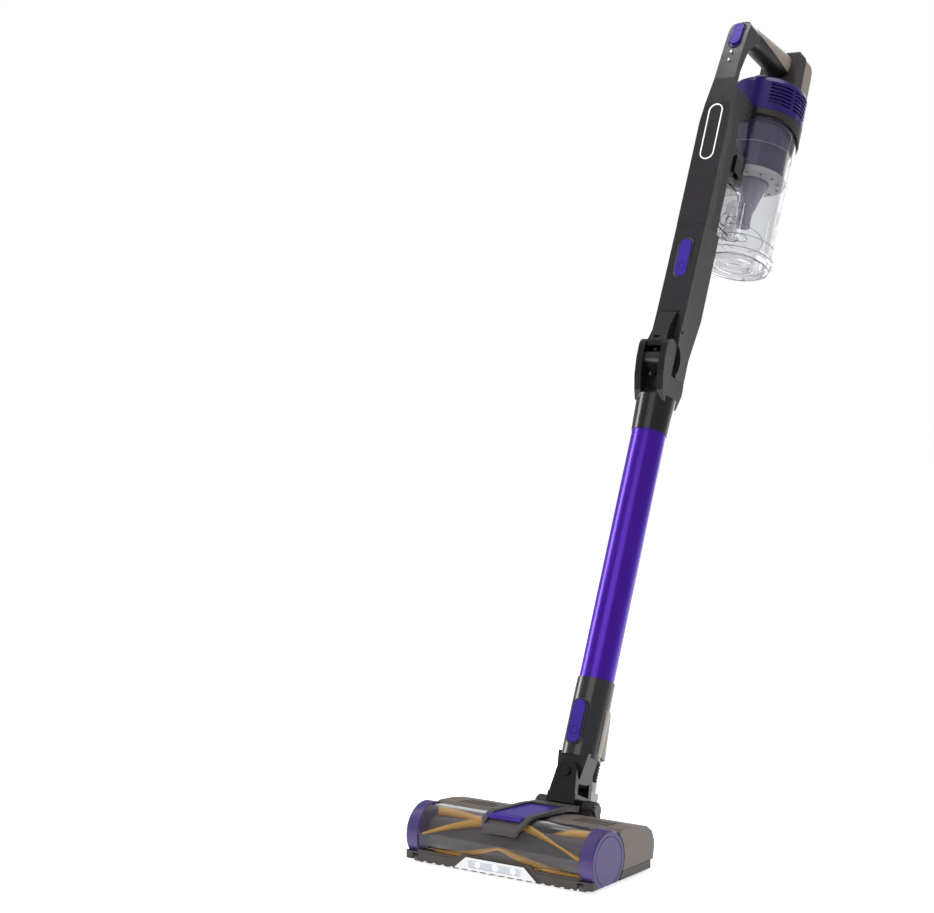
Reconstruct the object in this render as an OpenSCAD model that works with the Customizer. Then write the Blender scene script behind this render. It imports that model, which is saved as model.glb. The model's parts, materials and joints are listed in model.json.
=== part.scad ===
// Cordless stick vacuum with a folding wand, powered floor head and hand-held motor unit.
// The head's front edge faces -Y, the floor is z = 0, and the wand leans back towards +Y.

/* [Head] */
// overall width of the floor head
head_w = 265; // [240:1:290]
// depth of the head's body, front edge to rear wall
head_d = 139; // [125:1:150]
// height of the head's rear housing above the floor
head_h = 61; // [55:1:68]
// distance from the head's front edge to the brush roll axis
roll_y = 36; // [34:0.5:40]
// height of the brush roll axis
roll_z = 31; // [30:0.5:33]
// outer radius of the clear brush window
window_r = 34; // [33:0.5:36]
// radius of the violet end caps
cap_r = 35.5; // [35:0.5:37]
// brush roll radius over the bristles
bristle_r = 30.4; // [29:0.2:30.8]
// underside of the sole plate above the floor
sole_z = 3.5; // [2.5:0.5:5]

/* [Stance] */
// backward lean of the wand at rest, degrees
lean = 22.5; // [0:0.5:45]
// distance from the head's front edge to the tilt axis
axis_y = 155; // [150:1:160]
// height of the tilt axis
axis_z = 54; // [50:1:60]
// distance from the head's front edge to the frame origin
org_y = 374.5; // [300:0.1:420]

/* [Wand] */
// outer diameter of the wand tube
tube_d = 44.8; // [40:0.2:50]
// wand tube's visible lower end, along the wand from the tilt axis
tube_lo = 160; // [150:1:175]
// wand tube's visible upper end
tube_hi = 490; // [470:1:520]
// folding knee's pin, along the wand
knee_s = 586; // [580:1:590]

/* [Hand-held unit] */
// joint between the wand's top collar and the hand-held unit
split_s = 784; // [780:1:790]
// top of the spine
top_s = 1104; // [1090:1:1115]
// width of the spine's front face
spine_w = 44; // [40:1:48]
// distance from the wand's front plane to the dust cup's axis
cup_n = 132; // [125:1:145]
// outer radius of the clear dust cup
cup_r = 51; // [48:0.5:54]
// top of the motor housing
motor_top = 1052; // [1045:1:1056]
// radius of the motor housing
motor_r = 54; // [52:0.5:56]

/* [Hidden] */
$fn = 96;
eps = 0.05;
run = 0.05;      // radial running clearance
gap = 0.3;       // gap between separate covers
half = head_w / 2;
inner = 115;     // inner face of the end caps
sole_t = 9.5;
sole_top = sole_z + sole_t;
tube_r = tube_d / 2;
tube_end = 134;  // wand tube's lower end inside the collar
tube_n = 5;      // wand tube axis, behind the tilt axis plane
knee_n = -18;    // knee pin, near the front of the wand
flat_n = cup_n + 32; // plane between the motor unit and the battery
spig_n = 23;     // hand-held unit's nozzle axis
spig_r = 14;

violet = [0.24, 0.10, 0.66];
deep = [0.15, 0.10, 0.38];
dark = [0.10, 0.10, 0.12];
grey = [0.30, 0.30, 0.33];
black = [0.04, 0.04, 0.05];
pale = [0.62, 0.62, 0.64];
steel = [0.72, 0.73, 0.75];
clear = [0.85, 0.9, 0.95, 0.3];
gold = [0.95, 0.62, 0.10];

// ---- frames and small shapes ----
module at_head() translate([0, -org_y, 0]) children();
module at_wand() translate([0, axis_y - org_y, axis_z]) rotate([-lean, 0, 0]) children();

// cylinder along X between two stations
module xcyl(r, x0, x1, y = 0, z = 0, r2 = undef)
    translate([x0, y, z]) rotate([0, 90, 0])
        cylinder(r1 = r, r2 = is_undef(r2) ? r : r2, h = x1 - x0);

// cylinder along Y between two stations
module ycyl(r, y0, y1, x = 0, z = 0)
    translate([x, y0, z]) rotate([-90, 0, 0]) cylinder(r = r, h = y1 - y0);

// outline given in (Y, Z), extruded along X
module slab(x0, x1) translate([x0, 0, 0]) rotate([90, 0, 90]) linear_extrude(x1 - x0) children();

// outline given in (X, Z), extruded along Y
module face(y0, y1) translate([0, y1, 0]) rotate([90, 0, 0]) linear_extrude(y1 - y0) children();

module box(lo, hi) translate(lo) cube([hi[0] - lo[0], hi[1] - lo[1], hi[2] - lo[2]]);

module both_sides() { children(); mirror([1, 0, 0]) children(); }

// rectangle with rounded corners, given by its low and high corners
module rrect(lo, hi, r) {
    w = hi[0] - lo[0];
    h = hi[1] - lo[1];
    translate(lo) {
        translate([r, 0]) square([w - 2 * r, h]);
        translate([0, r]) square([w, h - 2 * r]);
        for (x = [r, w - r], y = [r, h - r]) translate([x, y]) circle(r);
    }
}

// vertical stadium, centred
module stadium(w, l) {
    square([w, l - w], center = true);
    for (y = [-1, 1]) translate([0, y * (l - w) / 2]) circle(d = w);
}

// sector of a circle between two angles under 180 degrees apart
module sector(r, a0, a1) {
    m = (a0 + a1) / 2;
    polygon([[0, 0], r * [cos(a0), sin(a0)], 1.6 * r * [cos((a0 + m) / 2), sin((a0 + m) / 2)],
             1.6 * r * [cos(m), sin(m)], 1.6 * r * [cos((a1 + m) / 2), sin((a1 + m) / 2)],
             r * [cos(a1), sin(a1)]]);
}

// part of a ring about the brush roll, as an (Y, Z) outline
module roll_arc(r0, r1, a0, a1) translate([roll_y, roll_z]) intersection() {
    difference() { circle(r1); circle(r0); }
    sector(r1 * 1.2, a0, a1);
}

// ---- floor head ----
wheel_x = 112;
wheel_y = 112;
wheel_r = 8;
front_x = 116.8;
front_y = 6.5;
front_r = 5;

module sole_plate() color(black) at_head() difference() {
    union() {
        translate([0, 0, sole_z]) linear_extrude(sole_t)
            rrect([-half, 0], [half, head_d - 6], 4);
        box([-inner + 0.3, 0.6, sole_top - eps], [inner - 0.3, 3.6, sole_top + 3]);
        face(0, 2.8) polygon([[-66, sole_z + 2], [-48, 21], [48, 21], [66, sole_z + 2]]);
    }
    box([-113, 7, 0], [113, 66, 40]);
    box([-58, 66, sole_z + 3], [58, 100, 40]);
    for (s = [-1, 1]) {
        xcyl(cap_r + gap, s > 0 ? 121.5 : -half - 1, s > 0 ? half + 1 : -121.5, roll_y, roll_z);
        translate([s * wheel_x, wheel_y, 0]) box([-9, -11, 0], [9, 11, 30]);
        translate([s * front_x, front_y, 0]) box([-4.3, -6.6, 0], [4.3, 6.6, 11]);
        xcyl(1.5, s * front_x - 6, s * front_x + 6, front_y, front_r);
        xcyl(2, s * wheel_x - 11, s * wheel_x + 11, wheel_y, wheel_r);
    }
}

module head_profile(t = 0) polygon([
    [62 + t, sole_top - 1], [62 + t, head_h - 2 - t], [70, head_h - t], [98, head_h - 2 - t],
    [122, head_h - 6 - t], [134 - t, head_h - 14 - t], [head_d - t, head_h - 26],
    [head_d - t, 26], [head_d - 3 - t, sole_top - 1]]);

module head_housing() color(dark) at_head() difference() {
    slab(-half + 0.5, half - 0.5) head_profile();
    slab(-half + 3, half - 3) head_profile(2.5);
    box([-half, 0, 0], [half, 200, sole_top + 0.1]);
    both_sides() {
        xcyl(cap_r + gap, inner - gap, half + 1, roll_y, roll_z);
        for (i = [0:7]) translate([58 + i * 6.4, 0, 0]) box([0, 74, 40], [3, 106, 80]);
        box([wheel_x - 9, wheel_y - 11, 0], [wheel_x + 9, wheel_y + 11, 24]);
    }
    slab(-inner, inner) translate([roll_y, roll_z]) circle(window_r + 0.4);
    box([-24, 60, 18], [24, 66, 46]);
    box([-23.5, 60, 54], [23.5, 112, 80]);
    xcyl(sweep_r, -lug_in, lug_in, axis_y, axis_z);
}

module brush_window() color(clear) at_head()
    slab(-inner + gap, inner - gap) {
        roll_arc(window_r - 2.2, window_r, 42, 125);
        roll_arc(window_r - 2.2, window_r, 124.9, 203);
    }

module end_cap() difference() {
    union() {
        xcyl(cap_r, inner, half - 2, roll_y, roll_z);
        xcyl(cap_r, half - 2, half, roll_y, roll_z, cap_r - 2);
    }
    xcyl(cap_r - 4, inner + 2.5, 127, roll_y, roll_z);
    xcyl(4 + run, inner - 1, inner + 3, roll_y, roll_z);
    box([0, -20, -20], [half + 1, 100, sole_z]);
    box([0, -20, -20], [121.7, 100, sole_top + 0.2]);
    slab(half - 0.8, half + 1) translate([roll_y, roll_z]) difference() { circle(29); circle(28); }
    box([117.5, 60, 14], [126.5, 80, 50]);
}
module cap_left() color(violet) at_head() mirror([1, 0, 0]) end_cap();
module cap_right() color(violet) at_head() end_cap();

core_r = 20;
module brush_core() color(black) at_head() {
    difference() {
        xcyl(core_r, -111, 111, roll_y, roll_z);
        for (x = [-112, 96]) xcyl(14, x, x + 16, roll_y, roll_z);
    }
    xcyl(9, -111, 111, roll_y, roll_z);
    xcyl(4, -125, 119, roll_y, roll_z);
}

// flexible fins: four rows of short tufts that meet in a shallow V at the middle
rows = 4;
steps = 13;
module brush_bristles() color(gold) at_head() translate([0, roll_y, roll_z])
    for (k = [0:rows - 1], i = [-steps:steps])
        rotate([k * 360 / rows + 6.5 * abs(i), 0, 0])
            translate([i * 8.2 - 3.6, -1.5, core_r + 0.01]) cube([7.2, 3, bristle_r - core_r]);

belt_y = 96;
belt_z = 36;
pulley_big = 14;
pulley_small = 6;
module brush_pulley() color(grey) at_head() difference() {
    union() {
        xcyl(pulley_big, -124.5, -119.5, roll_y, roll_z);
        xcyl(pulley_big + 1.5, -125.5, -124.5, roll_y, roll_z);
    }
    xcyl(4, -127, -119, roll_y, roll_z);
}
module drive_belt() color(black) at_head() slab(-124, -120) difference() {
    hull() {
        translate([roll_y, roll_z]) circle(pulley_big + 1.6);
        translate([belt_y, belt_z]) circle(pulley_small + 1.6);
    }
    hull() {
        translate([roll_y, roll_z]) circle(pulley_big + 0.1);
        translate([belt_y, belt_z]) circle(pulley_small + 0.1);
    }
}
module brush_motor() color(steel) at_head() difference() {
    union() {
        xcyl(16, -100, -44, belt_y, belt_z);
        xcyl(7, -104, -100, belt_y, belt_z);
    }
    xcyl(2.5 + run, -105, -90, belt_y, belt_z);
}
module motor_pulley() color(steel) at_head() {
    xcyl(2.5, -126, -90.5, belt_y, belt_z);
    xcyl(pulley_small, -124.5, -119.5, belt_y, belt_z);
}

module led_bezel() color(steel) at_head() difference() {
    face(-2.2, -0.1) polygon([[-58, sole_z], [58, sole_z], [41, 18], [-41, 18]]);
    face(-3, 0) rrect([-37, 6.5], [37, 15], 2);
}
module led_lens() color(clear) at_head()
    face(-1.8, -0.4) rrect([-36.8, 6.7], [36.8, 14.8], 1.8);
module led_chips() color([1, 1, 0.95]) at_head()
    for (x = [-25, 0, 25]) ycyl(3.2, -0.4, -0.1, x, 10.8);

module front_strip() color(grey) at_head() difference() {
    box([-110, 1.2, 1.2], [110, 4.2, sole_z]);
    for (x = [-104:13:104]) box([x - 3, 0, 0], [x + 3, 5, 2.6]);
}
module front_roller() difference() {
    xcyl(front_r, front_x - 3.5, front_x + 3.5, front_y, front_r);
    xcyl(1.5 + run, front_x - 5, front_x + 5, front_y, front_r);
}
module roller_left() color(grey) at_head() mirror([1, 0, 0]) front_roller();
module roller_right() color(grey) at_head() front_roller();
module rear_wheel() difference() {
    xcyl(wheel_r, wheel_x - 6, wheel_x + 6, wheel_y, wheel_r);
    xcyl(2 + run, wheel_x - 7, wheel_x + 7, wheel_y, wheel_r);
    for (s = [-1, 1]) translate([s * 5.2, 0, 0]) difference() {
        xcyl(6, wheel_x - 1, wheel_x + 1, wheel_y, wheel_r);
        xcyl(3.4, wheel_x - 2, wheel_x + 2, wheel_y, wheel_r);
    }
}
module wheel_left() color(black) at_head() mirror([1, 0, 0]) rear_wheel();
module wheel_right() color(black) at_head() rear_wheel();
module axles() color(steel) at_head() both_sides() {
    xcyl(2, wheel_x - 11, wheel_x + 11, wheel_y, wheel_r);
    xcyl(1.5, front_x - 6, front_x + 6, front_y, front_r);
}

// dark frame over the head's middle, with the violet duct cover inside it
module frame_band(t) {
    roll_arc(window_r + 0.3, window_r + t, 85, 150);
    polygon([[roll_y + 2, roll_z + window_r + 0.6], [roll_y + 2, roll_z + window_r + t],
             [100, head_h + t + 1.2], [137, head_h + t - 3], [142, head_h - 5],
             [128, head_h - 5], [122, head_h - 2], [100, head_h + 0.3]]);
}
module centre_frame() color(dark) at_head() difference() {
    slab(-31, 31) frame_band(4);
    difference() {
        box([-23.5, 10, 40], [23.5, 112, 90]);
        slab(-24, 24) roll_arc(window_r + 0.3, window_r + 1, 119, 140);
    }
    both_sides() translate([0, 0, 30]) linear_extrude(60)
        polygon([[31.5, 18], [22, 3], [22, -10], [40, -10], [40, 18]]);
    xcyl(sweep_r + 1, -35, 35, axis_y, axis_z);
}
module duct_cover() color(violet) at_head() {
    slab(-23.2, 23.2) difference() {
        union() {
            roll_arc(window_r + 0.3, window_r + 2.4, 89.9, 111);
            translate([roll_y, roll_z]) rotate(113) translate([window_r + 3.4, 0]) circle(3.4);
        }
        translate([roll_y, roll_z]) circle(window_r + 0.3);
    }
    slab(-23.2, 23.2) polygon([[roll_y, roll_z + window_r + 0.6], [roll_y, roll_z + window_r + 2.4],
             [100, head_h + 3], [111.7, head_h + 1.6], [111.7, 46], [66.5, 46], [66.5, head_h]]);
}

lug_in = 26;
sweep_r = 21.5;
lug_out = 41;
pin_r = 6;
module hinge_saddle() color(dark) at_head() {
    difference() {
        slab(-lug_out, lug_out) polygon([[head_d + 0.2, 14], [head_d + 0.2, 22], [164, 22],
            [166, 20], [163, 14]]);
    }
    both_sides() difference() {
        slab(lug_in, lug_out) {
            translate([axis_y, axis_z]) circle(10.5);
            polygon([[head_d + 0.2, 20], [axis_y + 9, 20], [axis_y + 10.5, axis_z],
                [axis_y - 10.5, axis_z], [head_d + 0.2, 40]]);
        }
        xcyl(pin_r, 20, 50, axis_y, axis_z);
    }
}
module tilt_pin() color(black) at_head() {
    xcyl(pin_r, -lug_out, lug_out, axis_y, axis_z);
    both_sides() xcyl(8.2, lug_out, lug_out + 3, axis_y, axis_z, 7.4);
}
module sole_screws() color(steel) at_head()
    for (x = [-95, 95], y = [78, 124]) translate([x, y, sole_z - 0.6]) difference() {
        cylinder(r = 3.4, h = 0.6);
        for (a = [0, 90]) rotate(a) translate([-2, -0.5, -1]) cube([4, 1, 1.3]);
    }

// ---- neck: tilts about X, carries the roll pin ----
roll_s = 40;     // roll pin, along the wand
roll_pin_r = 4;
module tilt_yoke() color(black) at_wand() difference() {
    union() {
        xcyl(10, -lug_in + 0.4, lug_in - 0.4);
        for (n = [[-20, -13], [13.4, 20]]) face(n[0], n[1]) {
            translate([0, roll_s]) circle(15);
            polygon([[-15, roll_s], [15, roll_s], [20, 4], [-20, 4]]);
        }
        box([-20, -20, 2], [20, 20, 14]);
    }
    xcyl(pin_r + run, -30, 30);
    ycyl(roll_pin_r, -25, 25, 0, roll_s);
}
module roll_pin() color(steel) at_wand() {
    ycyl(roll_pin_r, -21, 21, 0, roll_s);
    ycyl(6, -22.5, -21, 0, roll_s);
}
module neck_duct() color(pale) at_wand() difference() {
    union() {
        translate([0, hose_n, 18]) cylinder(r = 12.5, h = 20);
        box([-13, 20.3, 10], [13, hose_n + 11, 26]);
    }
    translate([0, hose_n, 14]) cylinder(r = 9, h = 30);
}
hose_n = 34;
module bellows(r, s0, s1, n) {
    pitch = 4.2;
    count = floor((s1 - s0) / pitch);
    translate([0, hose_n + n, s0]) difference() {
        union() {
            cylinder(r = r - 1.6, h = s1 - s0);
            for (i = [0:count - 1]) translate([0, 0, pitch * (i + 0.5) - 0.2])
                cylinder(r = r, h = 2.2);
        }
        translate([0, 0, -1]) cylinder(r = r - 3, h = s1 - s0 + 2);
    }
}
module neck_hose() color(grey) at_wand() bellows(12, 38.4, 75.6, 0);

// ---- lower collar: rolls with the wand ----
module collar_outline(grow = 0) {
    translate([0, tube_n]) circle(24.5 + grow);
    translate([-15, tube_n]) square([30, 22]);
    translate([0, 27]) circle(15);
}
btn_w = 17;
btn_l = 54;
low_btn_s = 103;
module lower_collar() color(dark) at_wand() difference() {
    union() {
        translate([0, 0, 62]) linear_extrude(64) collar_outline();
        translate([0, tube_n, 126]) cylinder(r1 = 24.5, r2 = 24.2, h = tube_lo - 126);
        translate([0, hose_n, 66]) cylinder(r = 13.5, h = 40);
        translate([0, hose_n, 106]) cylinder(r1 = 13.5, r2 = 6, h = 20);
        translate([0, 27, 126]) cylinder(r1 = 15, r2 = 3, h = 20);
        face(-12.6, 13) {
            translate([0, roll_s]) circle(18);
            polygon([[-18, roll_s], [18, roll_s], [22, 66], [-22, 66]]);
        }
        face(-20.5, -10) translate([0, low_btn_s]) stadium(btn_w + 6, btn_l + 6);
    }
    ycyl(roll_pin_r + run, -14, 14, 0, roll_s);
    translate([0, tube_n, tube_end - 0.2]) cylinder(r = tube_r + run, h = 60);
    translate([0, tube_n, 84]) cylinder(r = 15, h = 60);
    translate([0, hose_n, 60]) cylinder(r = 12.3, h = 24);
    translate([0, 14, 84]) rotate([-62, 0, 0]) cylinder(r = 9, h = 22);
    face(-30, -12.4) translate([0, low_btn_s]) stadium(btn_w + 2 * gap, btn_l + 2 * gap);
}
module release_button(n0, s) {
    difference() {
        face(n0 - 2.6, n0 + 4) translate([0, s]) stadium(btn_w, btn_l);
        face(n0 - 3, n0 - 1.8) translate([0, s - 12]) difference() { circle(5.6); circle(4.8); }
    }
}
low_btn_n = -19.2;
module lower_button() color(violet) at_wand() release_button(low_btn_n, low_btn_s);

// ---- wand tube and folding knee ----
module wand_tube() color(violet) at_wand() translate([0, tube_n, tube_end]) difference() {
    cylinder(r = tube_r, h = 528 - tube_end);
    translate([0, 0, -1]) cylinder(r = tube_r - 1.6, h = 530 - tube_end);
}
khose_n = 37;
cheek_in = 12.2;
cheek_out = 21.4;
knee_sweep = 26.8;   // radius that clears the fork while the arm folds
body_lo = 566;
module knee_lower() color(black) at_wand() difference() {
    union() {
        translate([0, tube_n, tube_hi]) cylinder(r1 = 23.6, r2 = 25.5, h = 48);
        slab(-cheek_out, cheek_out) polygon([[-13, 536], [-8, 550], [-8, body_lo], [29, body_lo],
            [30, 552], [22, 528], [-6, 528]]);
        both_sides() slab(cheek_in, cheek_out) {
            translate([knee_n - 0.5, knee_s + 13.5]) circle(12);
            polygon([[-30.5, 599], [-30, 582], [-26, 560], [-19, 542], [-12, 530], [-6, 530],
                     [-6, body_lo], [-6.5, 599]]);
        }
        translate([0, khose_n - 3, 538]) cylinder(r1 = 6, r2 = 11, h = 14);
        translate([0, khose_n, 552]) cylinder(r = 11, h = 14);
        box([-9, 25, 542], [9, khose_n, body_lo]);
    }
    translate([0, tube_n, 400]) cylinder(r = tube_r, h = 128);
    translate([0, 12, 520]) cylinder(r = 10.5, h = 60);
    xcyl(5, -30, 30, knee_n, knee_s);
    translate([0, khose_n, 553]) cylinder(r = 8, h = 30);
}
module knee_pin() color(grey) at_wand() xcyl(5 - 0.01, -cheek_out, cheek_out, knee_n, knee_s);
module knee_upper() color(dark) at_wand() difference() {
    union() {
        slab(-cheek_in + gap, cheek_in - gap) {
            translate([knee_n, knee_s]) circle(9);
            polygon([[knee_n, knee_s - 9], [10, body_lo + 0.4], [12, 640], [2, 640], [knee_n + 6, knee_s + 12],
                     [knee_n, knee_s + 9]]);
        }
        difference() {
            slab(-spine_w / 2 + 0.3, spine_w / 2 - 0.3) polygon([[5, body_lo + 0.4], [-5.5, 606], [-6.5, 622],
                [-4.5, 652], [-2.5, 720], [-1, split_s], [40, split_s], [39, 660], [28, 600], [28, body_lo + 0.4]]);
            both_sides() xcyl(knee_sweep, cheek_in - gap, 30, knee_n, knee_s);
        }
        translate([0, khose_n - 1, 622]) cylinder(r = 11, h = 30);
    }
    translate([0, 12, 560]) cylinder(r = 9.5, h = 102);
    translate([0, spig_n, 655]) cylinder(r = 13, h = 140);
    translate([0, spig_n, 738]) cylinder(r = spig_r + run, h = 60);
    xcyl(5 + run, -30, 30, knee_n, knee_s);
    slab(-12.2, 12.2) polygon([[-40, 598], [-13, 598.5], [-7, 602], [1.5, 616], [1.5, 642], [-1.5, 658], [-40, 658]]);
    face(-10, 5.8) translate([0, high_btn_s]) stadium(btn_w + 2 * gap, btn_l + 2 * gap);
    xcyl(2 + run, -30, 30, lever_n, lever_s);
    translate([0, khose_n, 555]) cylinder(r = 11.6, h = 67);
    translate([0, khose_n, 615]) cylinder(r = 8, h = 24);
}
high_btn_s = 735;
module upper_button() color(violet) at_wand() release_button(-1, high_btn_s);

lever_s = 628;
lever_n = -1.6;
module latch_lever() color(black) at_wand() difference() {
    union() {
        slab(-11.6, 11.6) polygon([[-27, 600.4], [-28.2, 607], [-15.5, 640], [-9, 655], [-6, 655],
            [-4.2, 640], [-0.2, 633], [-0.2, 624], [-6, 611], [-9.5, 605], [-14.5, 600.6]]);
        xcyl(2, -18, 18, lever_n, lever_s);
    }
    slab(-4, 4) polygon([[-32, 611], [-32, 615], [-23, 615], [-23, 611]]);
}
module knee_hose() color(grey) at_wand() bellows(11, 566.4, 621.6, khose_n - hose_n);

// ---- hand-held unit ----
module spine_side(back) polygon([[-1, split_s + gap], [0, 880], [0.5, 966], [4, 1005], [9, 1046],
    [14.5, 1080], [20, 1097], [27, top_s], [40, top_s], [52, top_s], [52, 1077], [40, 1074],
    [back + 12, 1056], [back + 2, 1020], [back, 990], [back, split_s + gap]]);
module spine_front() {
    polygon([[-22, split_s - 10], [22, split_s - 10], [22, 938], [19, 968], [15.6, 1004], [15.2, 1040],
             [15.6, top_s - 15], [-15.6, top_s - 15], [-15.2, 1040], [-15.6, 1004], [-19, 968], [-22, 938]]);
    translate([0, top_s - 15.6]) circle(15.6);
}
module spine_shell() color(dark) at_wand() difference() {
    intersection() {
        slab(-spine_w / 2, spine_w / 2) spine_side(14);
        face(-5, 60) spine_front();
    }
    slab(-18.5, 18.5) polygon([[5, split_s - 1], [5.5, 880], [6.5, 940], [14, 940], [30, split_s - 1]]);
    translate([0, 14.4, power_s]) rotate([-12, 0, 0]) face(-9, 4.4) stadium(15 + 2 * gap, 35.2 + 2 * gap);
}
module spine_duct() color(black) at_wand() difference() {
    union() {
        box([-17, 14.2, split_s + gap], [17, 40, 968]);
        slab(-15, 15) polygon([[14.3, 960], [14.3, 994], [26, 998.5], [79, 998.5], [79, 990], [52, 962],
                               [40, 950], [30, 950]]);
        translate([0, spig_n, 742]) cylinder(r = spig_r, h = 60);
        for (i = [0:4]) box([-14, 39.5, 786 + i * 2.6], [14, 42, 787.4 + i * 2.6]);
    }
    translate([0, spig_n, 740]) cylinder(r = spig_r - 2.5, h = 95);
    ycyl(11, spig_n, 90, 0, 831);
    translate([0, cup_n, 930]) cylinder(r = motor_r + gap, h = 120);
}
power_s = 1077;
module power_button() color(violet) at_wand() translate([0, 14.4, power_s]) rotate([-12, 0, 0])
    difference() {
        face(-3.6, 2.4) stadium(15, 35.2);
        for (s = [-1, 1]) face(-5, -3) translate([0, s * 9]) difference() { circle(5.6); circle(4.9); }
    }
module badge() color([0.95, 0.95, 0.95]) at_wand() difference() {
    face(-0.75, 0.9) translate([0, 922]) difference() { stadium(21, 83); stadium(18, 80); }
    slab(-30, 30) spine_side(14);
}
module indicators() color([0.6, 0.8, 1]) at_wand()
    difference() {
        for (i = [0, 1]) ycyl(1.6, 4, 10, 0, 1034 + i * 13);
        slab(-30, 30) spine_side(14);
    }

grip_r = 15.5;
module grip() color(dark) at_wand() difference() {
    translate([0, 40, 1088.5]) rotate([-84.5, 0, 0]) cylinder(r1 = grip_r, r2 = grip_r + 3.5, h = flat_n - 60);
    box([-20, 20, 1060], [20, 52.2, 1120]);
    box([-30, flat_n - 22.2, 1060], [30, flat_n + 10, 1140]);
}
module rear_housing() color(dark) at_wand() intersection() {
    slab(-29, 29) {
        polygon([[flat_n - 22, motor_top + 0.3], [flat_n - gap, motor_top + 0.3],
            [flat_n - gap, rear_hi - 2], [flat_n - 9, rear_hi], [flat_n - 17, rear_hi - 2],
            [flat_n - 22, rear_hi - 7]]);
        polygon([[flat_n + eps, 1000.4], [flat_n + eps, bat_lo - gap], [bat_n - 9, bat_lo - gap],
            [bat_n - 11, 1006], [bat_n - 12, 1000.4]]);
    }
    face(120, 190) rrect([-29, 1000.3], [29, rear_hi], 9);
}
rear_hi = 1124;
bat_n = flat_n + 23;
bat_lo = 1041;
bat_hi = 1121;
key_s = 1089;    // battery key, along the wand
module battery() color(grey) at_wand() difference() {
    intersection() {
        slab(-29, 29) polygon([[flat_n + gap, bat_lo], [flat_n + gap, bat_hi], [bat_n - 7, bat_hi - 3],
            [bat_n - 1, bat_hi - 12], [bat_n, bat_hi - 20], [bat_n, 1050], [bat_n - 6, bat_lo]]);
        face(flat_n, bat_n + 2) rrect([-29, bat_lo], [29, bat_hi], 8);
    }
    face(bat_n - 10, bat_n + 7) translate([0, key_s]) stadium(16 + 2 * gap, 26 + 2 * gap);
    ycyl(jack_r, bat_n - 10, bat_n + 7, 0, jack_s);
    for (i = [0:2]) box([-18, bat_n - 1.6, 1061.5 + i * 4.5], [18, bat_n + 2, 1063.5 + i * 4.5]);
}
jack_r = 2.8;
jack_s = 1056;
module battery_button() color(violet) at_wand() face(bat_n - 7.4, bat_n + 0.8) translate([0, key_s]) stadium(16, 26);

module motor_housing() color(violet) at_wand() difference() {
    translate([0, cup_n, 0]) rotate_extrude() polygon([[40, 1000], [motor_r, 1000], [motor_r, 1042],
        [motor_r - 2.5, 1048], [motor_r - 8, motor_top], [0, motor_top], [0, motor_top - 3],
        [motor_r - 9, motor_top - 3], [motor_r - 3, 1040], [motor_r - 3, 1003], [40, 1003]]);
    box([-29.3, flat_n, 900], [29.3, 300, 1200]);
    for (row = [0:5], a = [-60, -19]) translate([0, cup_n, 1009 + row * 5.4]) linear_extrude(2.8)
        difference() {
            sector(motor_r + 4, a, a + 36);
            circle(motor_r - 6);
        }
}
module fan_motor() color(steel) at_wand() translate([0, cup_n, 1010]) difference() {
    cylinder(r = 24, h = 34);
    translate([0, 0, -1]) cylinder(r = 3 + run, h = 30);
}
module impeller() color(steel) at_wand() translate([0, cup_n, 1003.6]) {
    cylinder(r = 23, h = 1.5);
    cylinder(r = 3, h = 34);
    for (a = [0:45:315]) rotate(a) translate([5, -0.6, 1.4]) cube([17, 1.2, 3.4]);
}
module dome_cap() color(pale) at_wand() intersection() {
    translate([0, cup_n - 29, motor_top - 9]) sphere(r = 18);
    box([-20, cup_n - 50, motor_top + 0.1], [20, cup_n, motor_top + 12]);
}
module collar_band() color(grey) at_wand() difference() {
    translate([0, cup_n, 940]) cylinder(r = motor_r - 0.2, h = 59.8);
    translate([0, cup_n, 930]) cylinder(r = cup_r + 0.4, h = 59);
    translate([0, cup_n, 980]) cylinder(r = 44, h = 30);
    slab(-80, 80) polygon([[cup_n - 66, 900], [cup_n - 66, 993], [cup_n - 31, 990],
        [cup_n + 60, 964], [cup_n + 60, 900]]);
}

// ---- dust cup ----
cup_lo = 797;
cup_hi = 988;
module dust_cup() color(clear) at_wand() {
    difference() {
        translate([0, cup_n, 0]) rotate_extrude() polygon([[cup_r - 2.6, cup_lo],
            [cup_r - 0.6, cup_lo], [cup_r, 950], [cup_r, cup_hi], [cup_r - 2, cup_hi], [cup_r - 2, 950]]);
        ycyl(8.8, 70, cup_n, 0, 831);
    }
    difference() {
        box([-15, 42.6, 801], [15, cup_n - 40, 868]);
        box([-13, 40, 803], [13, cup_n - 30, 866]);
        translate([0, cup_n, 790]) cylinder(r = cup_r - 1, h = 90);
    }
    difference() {
        union() {
            ycyl(10.6, cup_n - cup_r + 1, 108, 0, 831);
            translate([0, 104, 812]) cylinder(r = 12, h = 52);
        }
        ycyl(8.8, 60, 106, 0, 831);
        translate([0, 104, 814]) cylinder(r = 10.2, h = 60);
    }
    both_sides() difference() {
        union() {
            box([9.3, cup_n + cup_r - 3, 800], [15, hinge_lid_n + 3.8, 812]);
            box([9.3, hinge_lid_n - 3.8, hinge_lid_s], [15, hinge_lid_n + 3.8, 806]);
            xcyl(3.8, 9.3, 15, hinge_lid_n, hinge_lid_s);
        }
        translate([0, cup_n, 790]) cylinder(r = cup_r - 1.2, h = 60);
    }
    xcyl(1.6, -15, 15, hinge_lid_n, hinge_lid_s);
}
module filter_drum() color(deep) at_wand() translate([0, cup_n, 0]) rotate_extrude()
    polygon([[30, 942], [40, 942], [42, 946], [42, 984], [46, 985], [46, cup_hi + 0.6],
             [36, cup_hi + 0.6], [36, 946], [30, 946]]);
module filter_ring() color(steel) at_wand() translate([0, cup_n, 934]) difference() {
    cylinder(r = 45.5, h = 7.6);
    translate([0, 0, -1]) cylinder(r = 24, h = 10);
    for (a = [0:30:330]) rotate(a) translate([36, 0, -1]) cylinder(r = 3.4, h = 10);
}
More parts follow.
